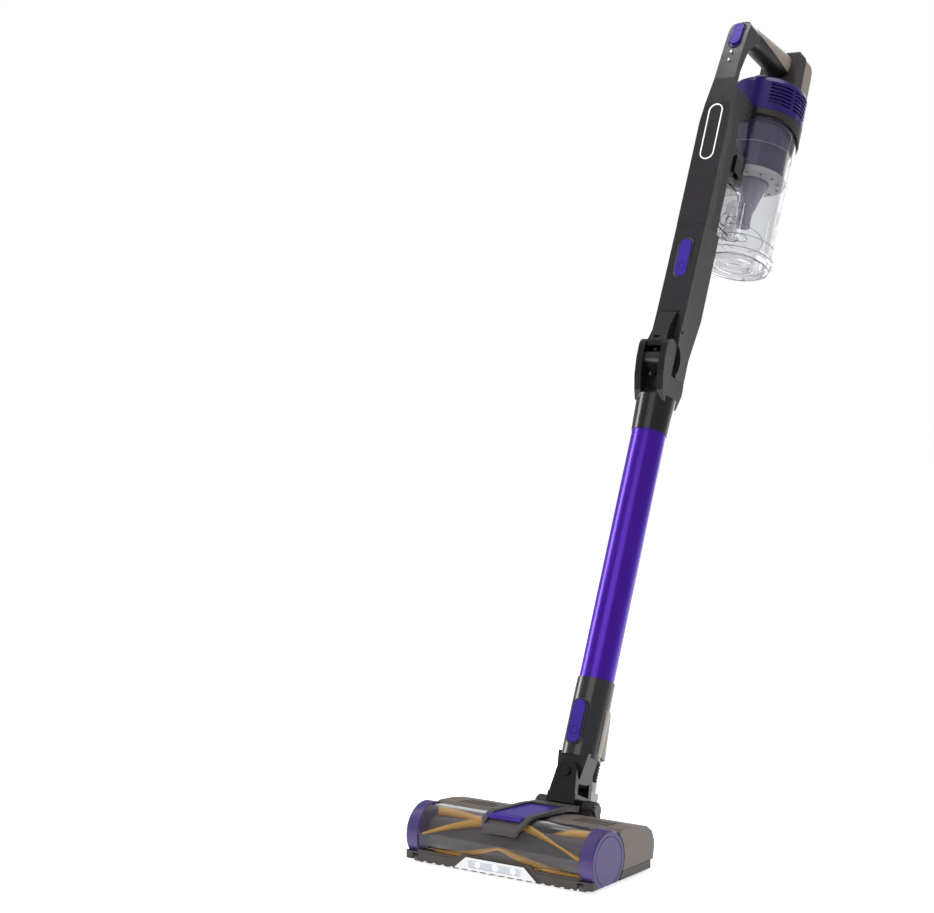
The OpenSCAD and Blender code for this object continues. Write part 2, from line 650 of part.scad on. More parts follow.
module cyclone_cone() color(violet) at_wand() translate([0, cup_n, 0]) rotate_extrude()
    polygon([[22, 933.8], [26, 933.8], [25, 922], [16, 882], [10.5, 868], [10.5, 846], [8.5, 846],
             [8.5, 869], [14, 883], [22, 923]]);
module premotor_filter() color(pale) at_wand() translate([0, cup_n, 950]) cylinder(r = 35.6, h = 36);

hinge_lid_n = cup_n + cup_r + 3.5;
hinge_lid_s = 793;
module cup_lid() color(clear) at_wand() difference() {
    union() {
        translate([0, cup_n, 781]) cylinder(r1 = cup_r - 4, r2 = cup_r + 0.3, h = 6);
        translate([0, cup_n, 787]) cylinder(r = cup_r + 0.3, h = cup_lo - 787.4);
        translate([0, cup_n, 780]) cylinder(r = 14, h = 3);
        box([-9, cup_n + cup_r - 6, 789], [9, hinge_lid_n, 796]);
        xcyl(3.8, -9, 9, hinge_lid_n, hinge_lid_s);
        box([-7, cup_n - cup_r - 3, 788], [7, cup_n - cup_r + 4, 796]);
    }
    translate([0, cup_n, 784]) difference() { cylinder(r = cup_r - 5, h = 20); cylinder(r = 30, h = 20); }
    translate([0, cup_n, 784]) cylinder(r = 27.5, h = 20);
    xcyl(1.6 + run, -12, 12, hinge_lid_n, hinge_lid_s);
}
module latch_guide() color(black) at_wand() difference() {
    box([-13, 40.3, 878], [13, cup_n - cup_r + 4, 922]);
    box([8.6, 55.5, 881], [14, 68.5, 914]);
    translate([0, cup_n, 860]) cylinder(r = cup_r + gap, h = 80);
}
module cup_latch() color(black) at_wand() difference() {
    union() {
        box([13.3, 52, 887], [16.6, 72, 912]);
        box([9, 56, 889], [13.4, 68, 910]);
    }
    for (i = [0:3]) box([15.9, 54, 891 + i * 5], [17, 70, 893 + i * 5]);
}

sole_plate();
head_housing();
brush_window();
cap_left();
cap_right();
brush_core();
brush_bristles();
brush_pulley();
drive_belt();
brush_motor();
motor_pulley();
led_bezel();
led_lens();
led_chips();
front_strip();
roller_left();
roller_right();
wheel_left();
wheel_right();
axles();
centre_frame();
duct_cover();
hinge_saddle();
tilt_pin();
sole_screws();
tilt_yoke();
roll_pin();
neck_duct();
neck_hose();
lower_collar();
lower_button();
wand_tube();
knee_lower();
knee_pin();
knee_upper();
upper_button();
latch_lever();
knee_hose();
spine_shell();
spine_duct();
power_button();
badge();
indicators();
grip();
rear_housing();
battery();
battery_button();
motor_housing();
fan_motor();
impeller();
dome_cap();
collar_band();
dust_cup();
filter_drum();
filter_ring();
premotor_filter();
cyclone_cone();
cup_lid();
latch_guide();
cup_latch();
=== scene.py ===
import bpy, bmesh, json, math
from mathutils import Matrix, Vector


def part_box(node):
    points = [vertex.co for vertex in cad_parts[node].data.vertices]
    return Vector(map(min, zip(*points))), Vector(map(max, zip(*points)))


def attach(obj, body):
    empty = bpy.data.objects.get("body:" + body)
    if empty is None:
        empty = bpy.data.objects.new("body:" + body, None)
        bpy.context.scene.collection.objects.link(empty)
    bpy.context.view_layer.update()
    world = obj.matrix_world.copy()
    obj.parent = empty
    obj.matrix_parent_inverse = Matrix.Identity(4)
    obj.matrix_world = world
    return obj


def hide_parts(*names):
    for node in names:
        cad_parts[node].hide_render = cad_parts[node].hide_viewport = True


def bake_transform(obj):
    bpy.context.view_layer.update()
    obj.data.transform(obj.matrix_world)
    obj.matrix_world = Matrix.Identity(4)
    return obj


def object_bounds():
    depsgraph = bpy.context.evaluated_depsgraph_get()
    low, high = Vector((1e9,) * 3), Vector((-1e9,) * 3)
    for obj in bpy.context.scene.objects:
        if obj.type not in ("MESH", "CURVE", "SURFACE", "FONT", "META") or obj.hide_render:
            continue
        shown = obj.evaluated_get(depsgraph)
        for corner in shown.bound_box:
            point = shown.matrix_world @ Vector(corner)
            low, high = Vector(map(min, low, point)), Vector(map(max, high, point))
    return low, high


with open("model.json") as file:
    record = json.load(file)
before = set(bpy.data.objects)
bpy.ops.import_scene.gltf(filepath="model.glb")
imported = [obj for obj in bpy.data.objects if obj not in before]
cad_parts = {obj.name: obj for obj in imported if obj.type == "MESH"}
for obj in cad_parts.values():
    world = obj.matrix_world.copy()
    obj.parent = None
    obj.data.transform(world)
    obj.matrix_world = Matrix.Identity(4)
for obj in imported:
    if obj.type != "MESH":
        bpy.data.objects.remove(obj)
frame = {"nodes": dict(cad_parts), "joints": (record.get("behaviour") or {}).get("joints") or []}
cad_box = [list(map(float, v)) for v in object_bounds()]
N = frame["nodes"]
scene = bpy.context.scene

# ---------------------------------------------------------------- the wand's own frame
# Millimetres from the pivot of head_tilt: x across, n towards the back and s along the wand.
J = {j["name"]: j for j in frame["joints"]}
PIV = Vector(J["head_tilt"]["pos_m"])
UP = Vector(J["wand_pull"]["axis"]).normalized()
BACK = Vector(J["neck_roll"]["axis"]).normalized()
SIDE = BACK.cross(UP).normalized()
WAND = Matrix.Translation(PIV) @ Matrix((SIDE, BACK, UP)).transposed().to_4x4()


def mm(*v):
    return Vector(v) / 1000.0


def wand(x, n, s):
    """A point of the scene, from the wand's own frame."""
    return WAND @ mm(x, n, s)


# ---------------------------------------------------------------- materials
SPECK = 60.0                              # scale of the broad noise in colour and roughness
COLOUR_A, COLOUR_B, COLOUR_OUT = 6, 7, 2  # the colour sockets of a Mix node


def linear(v):
    """One sRGB byte to linear."""
    v = v / 255
    return v / 12.92 if v <= 0.04045 else ((v + 0.055) / 1.055) ** 2.4


def rgb(r, g, b):
    return linear(r), linear(g), linear(b), 1


def material(name, base, rough=0.35, metal=0.0, var=0.12, grain=900.0, bump=0.05, coat=0.0,
             painted_highlight_side=None, edge_on_shade=None, trans=0.0, ior=1.46, emit=0.0, streak=None, dist=0.0002,
             spread=0.08, spec=0.5):
    """A material whose colour varies by var and its roughness by spread, over a broad noise.

    grain, bump and dist shape the fine relief, and streak stretches both noises. split is a
    second colour past a plane, a painted highlight that lightens the side where light falls:
    a point, a direction and a colour. rim is a painted shade: the grey that clear plastic is
    given where it is seen edge-on, in place of the reflections that darken it there.
    """
    m = bpy.data.materials.new(name)
    m.use_nodes = True
    nt = m.node_tree
    nt.nodes.clear()
    new = nt.nodes.new
    link = nt.links.new
    out = new("ShaderNodeOutputMaterial")
    bsdf = new("ShaderNodeBsdfPrincipled")
    link(bsdf.outputs[0], out.inputs[0])
    coord = new("ShaderNodeTexCoord")
    mapping = new("ShaderNodeMapping")
    link(coord.outputs["Object"], mapping.inputs[0])
    if streak:
        mapping.inputs["Scale"].default_value = streak

    def noise(scale, detail):
        tex = new("ShaderNodeTexNoise")
        tex.inputs["Scale"].default_value = scale
        tex.inputs["Detail"].default_value = detail
        link(mapping.outputs[0], tex.inputs["Vector"])
        return tex.outputs["Fac"]

    def mixed(amount, low, high):
        """A colour between two, each of them a socket or a constant."""
        mix = new("ShaderNodeMix")
        mix.data_type = "RGBA"
        link(amount, mix.inputs[0])
        for slot, value in ((COLOUR_A, low), (COLOUR_B, high)):
            if isinstance(value, tuple):
                mix.inputs[slot].default_value = value
            else:
                link(value, mix.inputs[slot])
        return mix.outputs[COLOUR_OUT]

    def varied(colour, lift):
        """A colour that the broad noise makes a little darker and lighter."""
        return mixed(broad, tuple(c * (1 - var) for c in colour[:3]) + (1,),
                     tuple(min(1, c * (1 + var) + lift) for c in colour[:3]) + (1,))

    broad = noise(SPECK, 6)
    colour = varied(base, 0.01 * var)
    # painted shade: the colour greys where the surface is seen edge-on, in place of the reflections
    # that darken clear plastic there
    if edge_on_shade:
        facing = new("ShaderNodeLayerWeight")
        facing.inputs["Blend"].default_value = 0.3
        colour = mixed(facing.outputs["Facing"], colour, (edge_on_shade, edge_on_shade, edge_on_shade * 1.02, 1))
    # painted highlight: past the plane the colour turns lighter, as on the top of the grip where
    # light falls
    if painted_highlight_side:
        point, normal, highlight_colour = painted_highlight_side
        place = new("ShaderNodeVectorMath")
        place.operation = "SUBTRACT"
        link(coord.outputs["Object"], place.inputs[0])
        place.inputs[1].default_value = point
        along = new("ShaderNodeVectorMath")
        along.operation = "DOT_PRODUCT"
        link(place.outputs[0], along.inputs[0])
        along.inputs[1].default_value = normal
        past = new("ShaderNodeMath")
        past.operation = "GREATER_THAN"
        link(along.outputs["Value"], past.inputs[0])
        past.inputs[1].default_value = 0.0
        colour = mixed(past.outputs[0], colour, varied(highlight_colour, 0.0))
    link(colour, bsdf.inputs["Base Color"])
    sheen = new("ShaderNodeMapRange")
    sheen.inputs["To Min"].default_value = max(0.02, rough - spread)
    sheen.inputs["To Max"].default_value = rough + spread
    link(broad, sheen.inputs[0])
    link(sheen.outputs[0], bsdf.inputs["Roughness"])
    if bump > 0:
        relief = new("ShaderNodeBump")
        relief.inputs["Strength"].default_value = bump
        relief.inputs["Distance"].default_value = dist
        link(noise(grain, 4), relief.inputs["Height"])
        link(relief.outputs[0], bsdf.inputs["Normal"])
    for socket, value in (("Metallic", metal), ("Coat Weight", coat), ("Coat Roughness", 0.12),
                          ("IOR", ior), ("Specular IOR Level", spec),
                          ("Transmission Weight", trans)):
        bsdf.inputs[socket].default_value = value
    if emit > 0:
        bsdf.inputs["Emission Color"].default_value = base
        bsdf.inputs["Emission Strength"].default_value = emit
    return m


M = {
    "gloss": material("gloss_dark", rgb(40, 37, 41), rough=0.24, coat=0.45, bump=0.0),
    "dark": material("satin_dark", rgb(50, 45, 46), rough=0.42, var=0.14, grain=1800, bump=0.12,
                     spec=0.4),
    "black": material("matte_black", rgb(17, 16, 19), rough=0.26, var=0.2, grain=2200, spec=0.45,
                      coat=0.4),
    "grey": material("soft_grey", rgb(78, 74, 76), rough=0.42, var=0.1, grain=1800, bump=0.15,
                     spec=0.4),
    "warm": material("warm_grey", rgb(146, 136, 128), rough=0.4, var=0.1, grain=1700, bump=0.12,
                     spec=0.4),
    "taupe": material("taupe_housing", rgb(110, 101, 95), rough=0.4, grain=1700, bump=0.14,
                      spec=0.4),
    "sole": material("sole_brown_grey", rgb(64, 57, 54), rough=0.36, var=0.14, grain=1700, bump=0.1,
                     spec=0.4),
    "pale": material("pale_grey", rgb(186, 184, 182), rough=0.4, var=0.06, grain=1600, bump=0.1,
                     spec=0.4),
    "violet": material("violet_gloss", rgb(58, 34, 150), rough=0.34, coat=0.12, var=0.1, bump=0.04,
                       spec=0.4),
    "housing": material("violet_housing", rgb(36, 22, 98), rough=0.3, coat=0.15, bump=0.04,
                        spec=0.4),
    "cap": material("violet_cap", rgb(74, 60, 116), rough=0.36, coat=0.1, bump=0.06, spec=0.4),
    "tube": material("violet_anodised", rgb(74, 22, 172), rough=0.27, metal=0.6, var=0.06,
                     grain=2600, coat=0.2, streak=(1, 1, 0.08)),
    "tint": material("violet_tint", rgb(84, 74, 112), rough=0.2, var=0.1, trans=0.3, bump=0.02),
    "cone": material("pale_cone", rgb(196, 192, 208), rough=0.25, var=0.1, trans=0.6, bump=0.02),
    # both clear plastics are painted greyer where they are seen edge-on: painted shade
    "clear": material("clear_plastic", (0.84, 0.845, 0.86, 1), rough=0.04, var=0.02, trans=1.0,
                      bump=0.0, ior=1.32, spread=0.015, edge_on_shade=0.42),
    "lid": material("soft_clear", (0.86, 0.86, 0.88, 1), rough=0.14, var=0.03, trans=1.0, bump=0.0,
                    ior=1.16, spread=0.03, edge_on_shade=0.5),
    "window": material("smoked_window", (0.80, 0.80, 0.83, 1), rough=0.06, var=0.03, trans=1.0,
                       bump=0.0, ior=1.38, spread=0.02),
    "steel": material("bright_metal", rgb(206, 206, 208), rough=0.26, metal=0.9, var=0.06,
                      grain=2500, streak=(0.1, 1, 1)),
    "rubber": material("rubber", rgb(24, 24, 25), rough=0.7, var=0.2, grain=1600, bump=0.3),
    "fins": material("amber_fins", rgb(236, 176, 72), rough=0.45, var=0.15, bump=0.3),
    "foam": material("foam", rgb(196, 194, 186), rough=0.85, var=0.2, grain=700, bump=0.8,
                     dist=0.0006),
    # the white marks glow a little: a painted brightness, since they are no lamps
    "white": material("white_mark", rgb(246, 246, 246), var=0.03, bump=0.0, emit=0.25),
    "lens": material("led_diffuser", rgb(214, 220, 226), rough=0.3, var=0.04, trans=0.35, bump=0.02,
                     emit=0.12),
    "ring": material("pale_ring", rgb(206, 204, 208), var=0.06, trans=0.25, bump=0.03, spec=0.4),
    "edge": material("clear_edge", rgb(176, 178, 184), rough=0.15, var=0.05, trans=0.45, bump=0.0),
    "warm_light": material("warm_light_grey", rgb(158, 150, 143), rough=0.38, var=0.1, grain=1700,
                           bump=0.12, spec=0.4),
    "bezel": material("violet_recess", rgb(34, 24, 78), rough=0.4, bump=0.04, spec=0.4),
    # a dark grip whose top is painted a lighter warm grey: a painted highlight where light falls
    "grip": material("grip_dark_painted_light_top", rgb(26, 24, 25), rough=0.42, var=0.14, grain=1500, bump=0.14,
                     spec=0.4,
                     painted_highlight_side=(wand(0, 60, 1093), (UP + 0.08 * BACK).normalized(), rgb(156, 144, 135))),
    "lamp": material("lamp_white", rgb(250, 252, 255), rough=0.2, var=0.02, bump=0, emit=2.2),
}

# every CAD node's material, and the width in mm of its softened edges where not the usual one
LOOK = {
    "sole_plate": "sole", "head_housing": "taupe", "brush_window": "window", "cap_left": "cap",
    "cap_right": "cap", "brush_core": "grey", "brush_bristles": "fins", "brush_pulley": "grey",
    "drive_belt": "rubber", "brush_motor": "steel", "motor_pulley": "steel", "led_bezel": "steel",
    "led_lens": "lens", "led_chips": "lamp", "front_strip": "black", "roller_left": "grey",
    "roller_right": "grey", "wheel_left": "rubber", "wheel_right": "rubber", "axles": "steel",
    "centre_frame": "grey", "duct_cover": "violet", "hinge_saddle": "dark", "tilt_pin": "black",
    "sole_screws": "steel", "tilt_yoke": "black", "roll_pin": "black", "neck_duct": "pale",
    "neck_hose": "black", "lower_collar": "gloss", "lower_button": "violet", "wand_tube": "tube",
    "knee_lower": "black", "knee_pin": "grey", "knee_upper": "gloss", "upper_button": "violet",
    "latch_lever": "black", "knee_hose": "black", "spine_shell": "gloss", "spine_duct": "black",
    "power_button": "violet", "badge": "white", "indicators": "white", "grip": "warm",
    "rear_housing": "dark", "battery": "warm", "battery_button": "violet",
    "motor_housing": "housing", "fan_motor": "steel", "impeller": "steel", "dome_cap": "pale",
    "collar_band": "dark", "dust_cup": "clear", "filter_drum": "tint", "filter_ring": "pale",
    "premotor_filter": "foam", "cyclone_cone": "cone", "cup_lid": "lid", "latch_guide": "black",
    "cup_latch": "black",
}
EDGE_USUAL, EDGE_ANGLE = 0.6, math.radians(35)
EDGE = {
    "brush_bristles": 0, "led_chips": 0, "sole_screws": 0.1, "badge": 0.15, "indicators": 0.2,
    "axles": 0.2, "impeller": 0.15, "neck_hose": 0.5, "knee_hose": 0.5, "wand_tube": 0.4,
    "spine_shell": 2.2, "knee_upper": 1.4, "lower_collar": 1.4, "knee_lower": 1.6, "grip": 1.0,
    "rear_housing": 2.0, "battery": 2.0, "head_housing": 1.2, "sole_plate": 0.9,
    "centre_frame": 1.2, "duct_cover": 0.8, "latch_lever": 1.2, "hinge_saddle": 1.0,
    "tilt_yoke": 1.0, "dust_cup": 0.25, "brush_window": 0.3, "led_lens": 0.2, "drive_belt": 0.1,
    "front_strip": 0.2, "motor_housing": 0.4,
}


def finish_cad(name):
    """Material and softened edges on a CAD node."""
    o = N[name]
    o.data.materials.clear()
    o.data.materials.append(M[LOOK[name]])
    width = EDGE.get(name, EDGE_USUAL)
    if width > 0:
        b = o.modifiers.new("edge", "BEVEL")
        b.width = width / 1000
        b.segments = 3
        b.limit_method = "ANGLE"
        b.angle_limit = EDGE_ANGLE
    for p in o.data.polygons:
        p.use_smooth = True
    wn = o.modifiers.new("normals", "WEIGHTED_NORMAL")
    wn.keep_sharp = True


for name in N:
    finish_cad(name)


# ---------------------------------------------------------------- pieces built on the frame
def wand_box(name):
    """A node's lowest and highest corners in the wand's own frame."""
    back = WAND.inverted()
    pts = [back @ v.co * 1000 for v in N[name].data.vertices]
    return [[pick(p[i] for p in pts) for i in range(3)] for pick in (min, max)]


def circle(steps):
    """Angles evenly round a full turn."""
    return [2 * math.pi * k / steps for k in range(steps)]


def piece(name, verts, faces, look, body, bevel=0.0):
    """A mesh piece from points in metres; it rides on its body, or stays free without one."""
    mesh = bpy.data.meshes.new(name)
    mesh.from_pydata([tuple(v) for v in verts], [], faces)
    work = bmesh.new()
    work.from_mesh(mesh)
    bmesh.ops.recalc_face_normals(work, faces=work.faces)
    work.to_mesh(mesh)
    work.free()
    mesh.materials.append(M[look])
    o = bpy.data.objects.new(name, mesh)
    scene.collection.objects.link(o)
    if bevel:
        b = o.modifiers.new("edge", "BEVEL")
        b.width = bevel / 1000
        b.segments = 3
        b.limit_method = "ANGLE"
        b.angle_limit = math.radians(40)
    for p in mesh.polygons:
        p.use_smooth = True
    if body:
        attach(o, body)
    return o


def loft(name, rings, look, body, ends=True, **more):
    """A skin over rings of equal length; the ends are closed unless told otherwise."""
    n = len(rings[0])
    verts = [v for ring in rings for v in ring]
    faces = [(r * n + i, r * n + (i + 1) % n, (r + 1) * n + (i + 1) % n, (r + 1) * n + i)
             for r in range(len(rings) - 1) for i in range(n)]
    if ends:
        faces += [tuple(range(n)), tuple(range(len(verts) - n, len(verts)))]
    return piece(name, verts, faces, look, body, **more)


def bead(name, path, radius, look, body, closed=True, sides=10):
    """A round bead of one radius in mm along a path of points in metres."""
    rings, last = [], len(path) - 1
    for i, p in enumerate(path):
        if closed:
            before, after = path[i - 1], path[(i + 1) % len(path)]
        else:
            before, after = path[max(i - 1, 0)], path[min(i + 1, last)]
        ahead = (after - before).normalized()
        side = ahead.cross(BACK if abs(ahead.dot(BACK)) < 0.9 else UP).normalized()
        up = side.cross(ahead)
        rings.append([p + (side * math.cos(a) + up * math.sin(a)) * radius / 1000
                      for a in (k * 2 * math.pi / sides for k in range(sides))])
    if closed:
        rings.append(rings[0])
    return loft(name, rings, look, body, ends=not closed)


def stadium(place, width, length, steps=14):
    """Points round a stadium in a placed X-Z plane, in mm before the placing."""
    r, half = width / 2, (length - width) / 2
    out = []
    for top, start in ((half, 0), (-half, math.pi)):
        for k in range(steps + 1):
            a = start + math.pi * k / steps
            out.append(place @ mm(r * math.cos(a), 0, top + r * math.sin(a)))
    return out


# the brush's flexible fins, in metres: swept ribbons that meet in a shallow V at the middle
FIN_ROWS, FIN_STEPS = 4, 110
FIN_ROOT, FIN_TIP = 0.0016, 0.0009        # half of a fin's thickness
FIN_NICK = 0.0009                         # how deep every second step of the tip is cut
FIN_TURN = math.radians(6.5) / 0.0082     # twist for each metre along the roller
FIN_EASE = 0.006                          # rounds the point of the V
AXLE = Vector(J["brush_spin"]["pos_m"])
fin_lo, fin_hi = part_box("brush_bristles")
CORE_R = (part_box("brush_core")[1].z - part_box("brush_core")[0].z) / 2
FIN_LOW_R = CORE_R + 1e-5                 # just clear of the core
TIP_R = fin_hi.z - AXLE.z
FIN_HALF = (fin_hi.x - fin_lo.x) / 2
verts, faces = [], []
for row in range(FIN_ROWS):
    first = len(verts)
    for i in range(FIN_STEPS + 1):
        x = -FIN_HALF + 2 * FIN_HALF * i / FIN_STEPS
        along = math.sqrt(x * x + FIN_EASE ** 2) - FIN_EASE
        turn = row * math.pi / 2 + FIN_TURN * along
        tip = TIP_R - FIN_NICK * (i % 2)
        spoke = Vector((0, -math.sin(turn), math.cos(turn)))
        flank = Vector((0, math.cos(turn), math.sin(turn)))
        for r, w in ((FIN_LOW_R, FIN_ROOT), (tip, FIN_TIP), (tip, -FIN_TIP),
                     (FIN_LOW_R, -FIN_ROOT)):
            verts.append(Vector((AXLE.x + x, AXLE.y, AXLE.z)) + spoke * r + flank * w)
    for i in range(FIN_STEPS):
        a, b = first + 4 * i, first + 4 * i + 4
        faces += [(a + k, a + (k + 1) % 4, b + (k + 1) % 4, b + k) for k in range(4)]
    faces += [tuple(first + k for k in range(4)), tuple(len(verts) - 4 + k for k in range(4))]
fins = piece("brush_fins", verts, faces, "fins", "brush_roll")
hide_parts("brush_bristles")

# the handle: one swept grip that flares into the spine and the rear housing
GRIP_STEPS, GRIP_SIDES = 24, 32
GRIP_SINK = 8                             # how far its front end goes into the spine
FLARE_LENGTH, FLARE_DROP = 26, 5.0
GRIP_SQUARE = 0.85                        # under 1, the oval section is squarer
grip_lo, grip_hi = wand_box("grip")
GRIP_START, GRIP_END = grip_lo[1] - GRIP_SINK, grip_hi[1]


def squarer(t):
    return math.copysign(abs(t) ** GRIP_SQUARE, t)


rings = []
for i in range(GRIP_STEPS + 1):
    u = i / GRIP_STEPS
    n = GRIP_START + (GRIP_END - GRIP_START) * u
    flare = max(0.0, 1 - (n - GRIP_START) / FLARE_LENGTH) ** 2
    top = 1104.6 + 12.6 * u ** 0.9
    low = 1073.6 + 5.8 * u - FLARE_DROP * flare
    half_wide = 15.2 + 3.4 * u
    rings.append([wand(half_wide * squarer(math.cos(a)), n,
                       (top + low) / 2 + (top - low) / 2 * squarer(math.sin(a)))
                  for a in circle(GRIP_SIDES)])
grip = loft("handle_grip", rings, "grip", "hand_unit")
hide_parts("grip")

# inside the cup: a fluted filter drum, its ring and the small cone
drum_lo, drum_hi = wand_box("filter_drum")
CUP_N = (drum_lo[1] + drum_hi[1]) / 2
DRUM_TOP, DRUM_LOW = drum_hi[2] - 1, 918
FLUTE_FROM = 38                           # flutes are cut only outside this radius


def turned(name, profile, look, flutes=0, depth=0.0, sides=72):
    """A skin turned about the cup's axis, from a closed profile of (radius, s) in mm."""
    rings = []
    for r, s in profile:
        ring = []
        for k, a in enumerate(circle(sides)):
            fluted = flutes and (k * flutes // (sides // 2)) % 2 and r > FLUTE_FROM
            cut = depth if fluted else 0
            ring.append(wand((r - cut) * math.cos(a), CUP_N + (r - cut) * math.sin(a), s))
        rings.append(ring)
    return loft(name, rings, look, "cup", ends=False, bevel=0.25)


drum = turned("filter_drum_skin",
              [(30, DRUM_LOW), (40, DRUM_LOW), (42, DRUM_LOW + 3), (42, 984), (46, 985),
               (46, DRUM_TOP), (37, DRUM_TOP), (37, DRUM_LOW + 3), (30, DRUM_LOW + 3),
               (30, DRUM_LOW)], "tint", flutes=12, depth=0.9, sides=96)
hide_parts("filter_drum")
ring = turned("filter_ring_skin",
              [(24, 909), (44, 909), (45.5, 910.5), (45.5, 916), (44, 917.6), (24, 917.6),
               (24, 909)], "ring")
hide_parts("filter_ring")
cone = turned("cyclone_cone_skin",
              [(21, 908.6), (23, 908.6), (22, 902), (13, 872), (9.5, 862), (9.5, 842), (8, 842),
               (8, 862), (11.5, 872), (20, 901), (21, 908.6)], "cone")
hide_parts("cyclone_cone")

# thin black discs under the ring where its ports are: painted shade in place of open holes
PORTS, PORT_CIRCLE, PORT_R, PORT_S = 12, 37, 2.2, 908.9
for k in range(PORTS):
    a = 2 * math.pi * (k + 0.5) / PORTS
    hub = WAND @ Matrix.Translation(mm(PORT_CIRCLE * math.cos(a),
                                       CUP_N + PORT_CIRCLE * math.sin(a), PORT_S))
    spots = [[hub @ (mm(PORT_R * math.cos(b), PORT_R * math.sin(b), z)) for b in
              (math.pi * j / 6 for j in range(12))] for z in (0, -0.3)]
    loft(f"ring_port_painted_shade_{k}", spots, "black", "cup")

# the cup's moulded rims and flap lines, and its fill mark
cup_lo, cup_hi = wand_box("dust_cup")
CUP_R = (cup_hi[0] - cup_lo[0]) / 2


def hoop(radius, s, lean):
    """Points round the cup's axis, tilted by lean mm from front to back."""
    return [wand(radius * math.cos(a), CUP_N + radius * math.sin(a), s + lean * math.sin(a))
            for a in circle(72)]


for name, radius, s, lean, thick in (("cup_rim_low", CUP_R - 1.1, cup_lo[2] + 3.5, 0, 0.7),
                                     ("cup_rim_mid", CUP_R - 2.6, 812, 0, 0.5),
                                     ("cup_rim_high", CUP_R - 2.2, 952, 0, 0.6),
                                     ("cup_flap_line", 31, 826, -7, 0.5),
                                     ("cup_flap_boss", 9, 826, -2, 0.6)):
    bead(name, hoop(radius, s, lean), thick, "edge", "cup")

MARK_AT, MARK_WIDE = math.radians(-97), 0.09
MARK_R = CUP_R + 0.15


def on_cup(a, s):
    return wand(MARK_R * math.cos(MARK_AT + a), CUP_N + MARK_R * math.sin(MARK_AT + a), s)


bead("fill_mark", [on_cup(0.0, 852), on_cup(MARK_WIDE, 852), on_cup(MARK_WIDE, 846),
                   on_cup(MARK_WIDE, 840), on_cup(0.0, 840)], 0.45, "black", "cup",
     closed=False)

# the two ribbed hoses that cross their joints
HOSE_SIDES, RIB_DEPTH, HOSE_HOLD = 40, 0.8, 1


def ribbed_hose(name, node, ribs):
    lo_w, hi_w = wand_box(node)
    radius, n = (hi_w[0] - lo_w[0]) / 2, (lo_w[1] + hi_w[1]) / 2
    rings = []
    for i in range(4 * ribs + 1):
        r = radius - RIB_DEPTH * (1 + math.cos(math.pi * i / 2))
        s = lo_w[2] + (hi_w[2] - lo_w[2]) * i / (4 * ribs)
        rings.append([wand(r * math.cos(a), n + r * math.sin(a), s) for a in circle(HOSE_SIDES)])
    hose = loft(name, rings, "rubber", None)
    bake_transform(hose)
    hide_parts(node)


ribbed_hose("neck_hose_ribbed", "neck_hose", 9)
ribbed_hose("knee_hose_ribbed", "knee_hose", 13)

# the warm hose cover that wraps the back of the lower collar and the duct behind it
COVER_LOW, COVER_TOP, COVER_STEPS = 67.0, 124.0, 12
COVER_OUT, COVER_IN = 0.75, 0.1           # its two skins, outside the collar's own surface
COLLAR_R, DUCT_N = 24.6, 30
TUBE_N = sum(wand_box("wand_tube")[k][1] for k in (0, 1)) / 2
rings = []
for i in range(COVER_STEPS + 1):
    u = i / COVER_STEPS
    s = COVER_LOW + (COVER_TOP - COVER_LOW) * u
    duct_off, duct_r = DUCT_N - TUBE_N - 5 * u, 17.5 - 1.6 * u
    ring = []
    for stand_off, turns in ((COVER_OUT, range(-4, 185, 4)), (COVER_IN, range(184, -5, -4))):
        for deg in turns:
            a = math.radians(deg)
            across = duct_off * math.cos(a)
            reach = 0
            if abs(across) < duct_r and math.sin(a) > 0:
                reach = duct_off * math.sin(a) + math.sqrt(duct_r ** 2 - across ** 2)
            r = max(COLLAR_R, reach) + stand_off - 0.35 * (2 * u - 1) ** 8
            ring.append(wand(r * math.cos(a), TUBE_N + r * math.sin(a), s))
    rings.append(ring)
loft("hose_cover", rings, "warm_light", "collar", bevel=0.3)

# status marks above the power key: a diamond and a small arrow, as raised solids
mark_lo, mark_hi = wand_box("indicators")


def chip(name, outline, n, s):
    """A thin raised solid from an outline of (x, s) points in mm, on the leaning spine."""
    tilt = WAND @ Matrix.Translation(mm(0, n, s)) @ Matrix.Rotation(math.radians(-8), 4, "X")
    return loft(name, [[tilt @ mm(x, depth, z) for x, z in outline] for depth in (-0.35, 0.6)],
                "white", "hand_unit")


diamond = chip("status_diamond", [(0, -2.4), (2, 0), (0, 2.4), (-2, 0)], 6.6, mark_hi[2] - 1.6)
chip("status_arrow", [(0, 2.2), (-1.9, -0.4), (-0.6, -0.4), (-0.6, -2.2), (0.6, -2.2),
                      (0.6, -0.4), (1.9, -0.4)], 5.0, mark_lo[2] + 1.6)
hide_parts("indicators")

# a domed screw on the hinge plate, each side of the neck; the profile is (radius, height)
SCREW = ((0.0042, 0), (0.0042, 0.0012), (0.0036, 0.0022), (0.0022, 0.003), (0.0008, 0.0032))
seat_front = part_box("hinge_saddle")[0].y
for tag, side in (("l", -1), ("r", 1)):
    at = Vector((side * 0.021, seat_front + 0.010, 0.0225))
    loft(f"hinge_screw_{tag}", [[at + Vector((r * math.cos(a), r * math.sin(a), z))
                                 for a in circle(24)] for r, z in SCREW], "dark", "head")

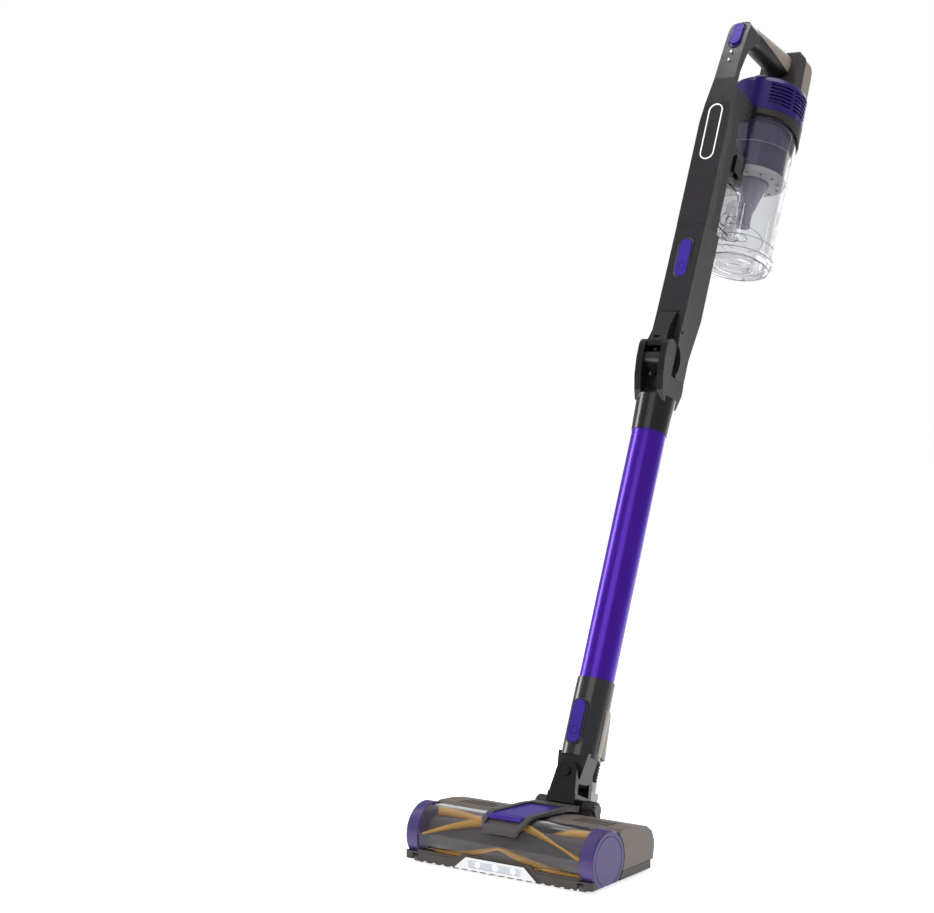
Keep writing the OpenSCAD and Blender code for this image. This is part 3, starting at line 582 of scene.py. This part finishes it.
# moulded beads round the buttons, and the violet recess of the power key
BEZEL_ROOM = 2.6
for name, node, body in (("lower_button_bezel", "lower_button", "collar"),
                         ("upper_button_bezel", "upper_button", "top_arm")):
    lo_w, hi_w = wand_box(node)
    place = WAND @ Matrix.Translation(mm((lo_w[0] + hi_w[0]) / 2, lo_w[1] + 1.4,
                                         (lo_w[2] + hi_w[2]) / 2))
    bead(name, stadium(place, hi_w[0] - lo_w[0] + BEZEL_ROOM, hi_w[2] - lo_w[2] + BEZEL_ROOM),
         0.95, "gloss", body)
key_place = (WAND @ Matrix.Translation(mm(0, 14.4, 1077))
             @ Matrix.Rotation(math.radians(-12), 4, "X"))
bead("power_key_bezel", stadium(key_place @ Matrix.Translation(mm(0, 0.2, -1.2)), 18.6, 42), 1.1,
     "bezel", "hand_unit")

# ---------------------------------------------------------------- stage, light and camera
mid = (Vector(cad_box[0]) + Vector(cad_box[1])) / 2
VIEW_AZ = math.radians(35.61)             # the camera stands this far round to the right
VIEW_DOWN = math.radians(3.29)
RIGHT = Vector((math.cos(VIEW_AZ), math.sin(VIEW_AZ), 0))
AWAY = Vector((-math.sin(VIEW_AZ), math.cos(VIEW_AZ), 0))

# a disc, not a curved backdrop, so that the object can be seen from all round
floor_mesh = bpy.data.meshes.new("stage_floor")
work = bmesh.new()
bmesh.ops.create_circle(work, cap_ends=True, segments=96, radius=9.0,
                        matrix=Matrix.Translation((0, 0, -0.0005)))
work.to_mesh(floor_mesh)
work.free()
floor = bpy.data.objects.new("stage_floor", floor_mesh)
scene.collection.objects.link(floor)
floor_mesh.materials.append(material("stage_white", (0.9, 0.9, 0.9, 1), rough=0.9, var=0.01,
                                     bump=0.0, emit=0.82, spec=0.0))

# white for what is seen directly or through clear plastic, and a dimmer room in reflections
ROOM, WHITE = 0.3, 1.0
world = bpy.data.worlds.new("studio")
scene.world = world
world.use_nodes = True
nodes, links = world.node_tree.nodes, world.node_tree.links
nodes.clear()
ray = nodes.new("ShaderNodeLightPath")
seen = nodes.new("ShaderNodeMath")
seen.operation = "MAXIMUM"
both = nodes.new("ShaderNodeMixShader")
for slot, kind in enumerate(("Is Camera Ray", "Is Transmission Ray")):
    links.new(ray.outputs[kind], seen.inputs[slot])
links.new(seen.outputs[0], both.inputs[0])
for slot, strength in ((1, ROOM), (2, WHITE)):
    glow = nodes.new("ShaderNodeBackground")
    glow.inputs[0].default_value = (1, 1, 1, 1)
    glow.inputs[1].default_value = strength
    links.new(glow.outputs[0], both.inputs[slot])
links.new(both.outputs[0], nodes.new("ShaderNodeOutputWorld").inputs[0])


def area(name, right, away, up, width, height, power):
    """A soft panel beside the object, placed from the camera's own right and away."""
    lamp = bpy.data.lights.new(name, "AREA")
    lamp.shape = "RECTANGLE"
    lamp.size, lamp.size_y = width, height
    lamp.energy = power
    o = bpy.data.objects.new(name, lamp)
    scene.collection.objects.link(o)
    o.location = mid + RIGHT * right + AWAY * away + Vector((0, 0, up))
    o.rotation_euler = (mid - o.location).to_track_quat("-Z", "Y").to_euler()
    o.visible_camera = False


area("left_panel", -1.7, 0.6, 0.3, 0.5, 2.2, 24)
area("right_panel", 1.0, 1.9, 0.3, 0.9, 2.2, 10)
area("right_strip", 1.9, 0.75, 0.3, 0.12, 2.0, 1.6)
area("top_panel", 0.1, 0.1, 1.9, 1.6, 1.6, 26)
area("front_panel", -1.0, -1.9, 0.8, 1.4, 1.4, 8)

cam_data = bpy.data.cameras.new("camera")
cam = bpy.data.objects.new("camera", cam_data)
scene.collection.objects.link(cam)
cam_data.sensor_width = 36.0
cam_data.lens = 77.297859
cam_data.clip_start = 0.05
HEAD_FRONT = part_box("sole_plate")[0].y
cam.location = (1.3158, -1.8941 + HEAD_FRONT, 0.6238)
cam.rotation_euler = (math.radians(90) - VIEW_DOWN, 0, VIEW_AZ)
scene.camera = cam
scene.view_settings.view_transform = "Standard"
